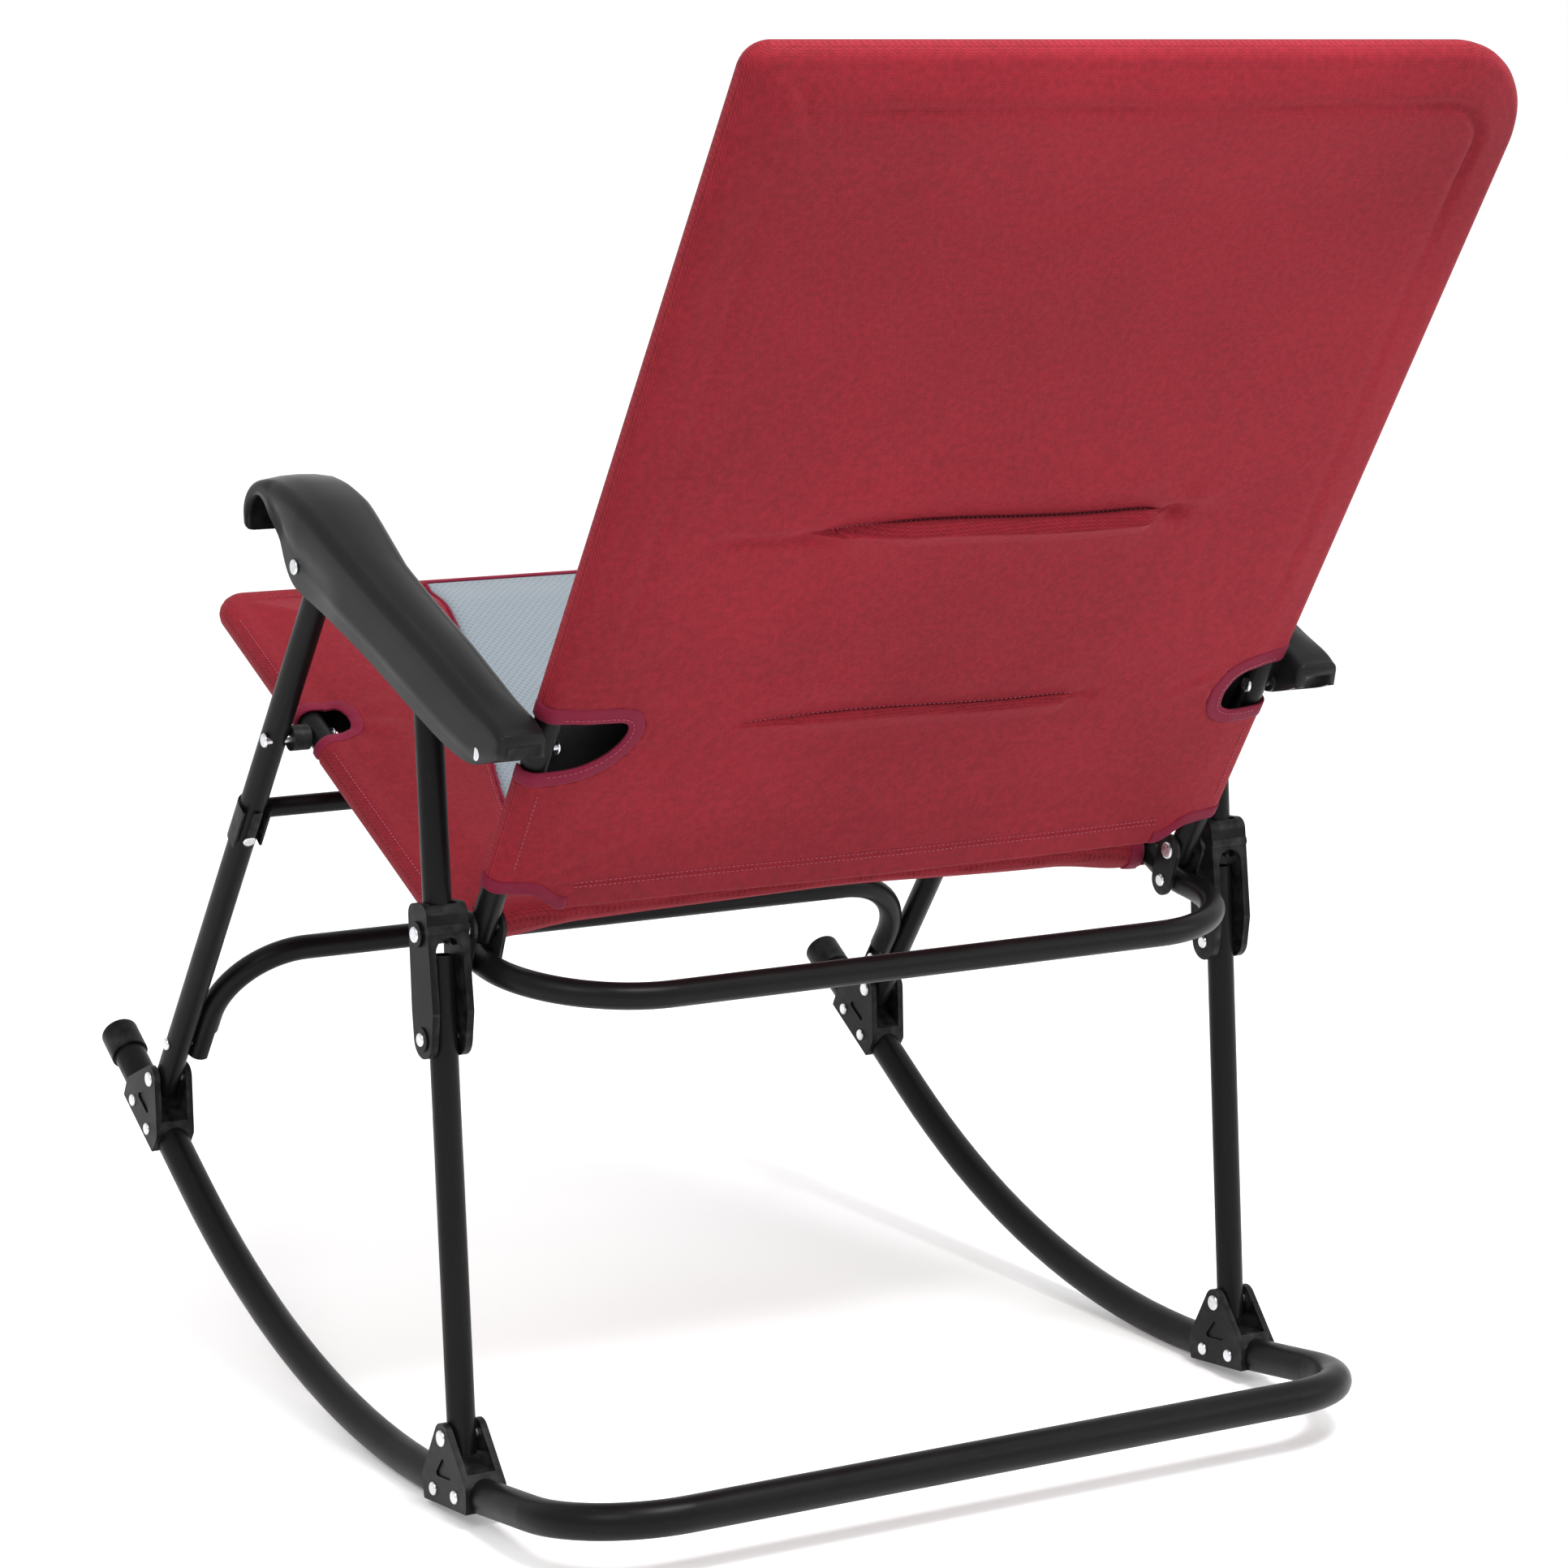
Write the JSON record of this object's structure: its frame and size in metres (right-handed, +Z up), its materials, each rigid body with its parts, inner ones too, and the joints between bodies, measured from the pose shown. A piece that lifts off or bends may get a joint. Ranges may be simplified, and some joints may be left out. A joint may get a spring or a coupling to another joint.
{
  "type": "camp rocking chair",
  "caption": "Folding camp rocking chair: bent steel tube frame on curved rockers, moulded armrests, padded fabric seat and high back with mesh centre panels.",
  "frame": {"origin": "floor level, on the symmetry plane, midway between the two points where the rockers touch the floor", "axes": "+Z up, the sitter faces -Y, +X to the sitter's left"},
  "size_m": [0.68, 0.911, 0.976],
  "materials": {
    "tube": "satin black powder coat",
    "plastic": "moulded, fine grain",
    "rivet": "zinc plated",
    "plate": "black painted steel plate",
    "cover": "woven polyester",
    "mesh": "padded spacer mesh"
  },
  "bodies": {
    "rocker_base": {"rocker_tube": "tube", "rocker_cap_left": "plastic", "rocker_cap_right": "plastic", "front_bracket_left": "plastic", "front_bracket_right": "plastic", "rear_bracket_left": "plastic", "rear_bracket_right": "plastic", "front_bracket_rivets": "rivet", "rear_bracket_rivets": "rivet", "front_pivot_pins": "rivet", "rear_pivot_pins": "rivet"},
    "front_legs": {"front_leg_left": "tube", "front_leg_right": "tube", "front_cross_tube": "tube", "cross_tube_clip_left": "plate", "cross_tube_clip_right": "plate", "lower_brace": "tube", "seat_pivot_spacers": "plastic", "seat_pivot_pins": "rivet", "armrest_front_rivets": "rivet", "brace_rivets": "rivet", "cross_tube_rivets": "rivet"},
    "seat": {"seat_frame": "tube", "hinge_plate_inner_left": "plate", "hinge_plate_inner_right": "plate", "hinge_plate_outer_left": "plate", "hinge_plate_outer_right": "plate", "hinge_plate_rivets": "rivet", "main_pivot_bolts": "rivet", "seat_cover": "cover", "seat_mesh_panel": "mesh"},
    "back": {"back_frame": "tube", "armrest_rear_rivets": "rivet", "armrest_washers": "plastic", "back_cover": "cover", "back_mesh_panel": "mesh"},
    "armrest_l": {"armrest_left": "plastic"},
    "armrest_r": {"armrest_right": "plastic"},
    "rear_leg_l": {"rear_leg_lower_left": "tube", "knuckle_left": "plastic", "knuckle_rivet_left": "rivet", "knuckle_pin_left": "rivet"},
    "rear_leg_r": {"rear_leg_lower_right": "tube", "knuckle_right": "plastic", "knuckle_rivet_right": "rivet", "knuckle_pin_right": "rivet"},
    "rear_strut_l": {"rear_leg_upper_left": "tube", "rear_leg_plug_left": "plastic"},
    "rear_strut_r": {"rear_leg_upper_right": "tube", "rear_leg_plug_right": "plastic"}
  },
  "joints": [
    {"name": "front_leg_fold", "type": "hinge", "parent": "rocker_base", "child": "front_legs", "pos_m": [0, -0.41023, 0.18435], "axis": [-1, 0, 0], "range_deg": [0, 18]},
    {"name": "seat_fold", "type": "hinge", "parent": "front_legs", "child": "seat", "pos_m": [0, -0.209, 0.4715], "axis": [1, 0, 0], "range_deg": [0, 34.07]},
    {"name": "back_fold", "type": "hinge", "parent": "seat", "child": "back", "pos_m": [0, 0.0415, 0.3845], "axis": [-1, 0, 0], "range_deg": [0, 34.07]},
    {"name": "armrest_fold_left", "type": "hinge", "parent": "front_legs", "child": "armrest_l", "pos_m": [0.312, -0.1255, 0.604], "axis": [1, 0, 0], "range_deg": [0, 34.07]},
    {"name": "armrest_fold_right", "type": "hinge", "parent": "front_legs", "child": "armrest_r", "pos_m": [-0.312, -0.1255, 0.604], "axis": [1, 0, 0], "range_deg": [0, 34.07]},
    {"name": "rear_leg_fold_left", "type": "hinge", "parent": "rocker_base", "child": "rear_leg_l", "pos_m": [0.312, 0.07488, 0.05274], "axis": [-1, 0, 0], "range_deg": [0, 16.13]},
    {"name": "rear_leg_fold_right", "type": "hinge", "parent": "rocker_base", "child": "rear_leg_r", "pos_m": [-0.312, 0.07488, 0.05274], "axis": [-1, 0, 0], "range_deg": [0, 16.13]},
    {"name": "rear_strut_fold_left", "type": "hinge", "parent": "rear_leg_l", "child": "rear_strut_l", "pos_m": [0.312, 0.0415, 0.3845], "axis": [1, 0, 0], "range_deg": [0, 50.45]},
    {"name": "rear_strut_fold_right", "type": "hinge", "parent": "rear_leg_r", "child": "rear_strut_r", "pos_m": [-0.312, 0.0415, 0.3845], "axis": [1, 0, 0], "range_deg": [0, 50.45]}
  ],
  "couplings": [
    {"joint": "seat_fold", "follows": "front_leg_fold", "ratio": 1.89},
    {"joint": "back_fold", "follows": "front_leg_fold", "ratio": 1.89},
    {"joint": "armrest_fold_left", "follows": "front_leg_fold", "ratio": 1.89},
    {"joint": "armrest_fold_right", "follows": "front_leg_fold", "ratio": 1.89},
    {"joint": "rear_leg_fold_left", "follows": "front_leg_fold", "ratio": 0.8931},
    {"joint": "rear_leg_fold_right", "follows": "front_leg_fold", "ratio": 0.8931},
    {"joint": "rear_strut_fold_left", "follows": "front_leg_fold", "ratio": 2.8},
    {"joint": "rear_strut_fold_right", "follows": "front_leg_fold", "ratio": 2.8}
  ]
}
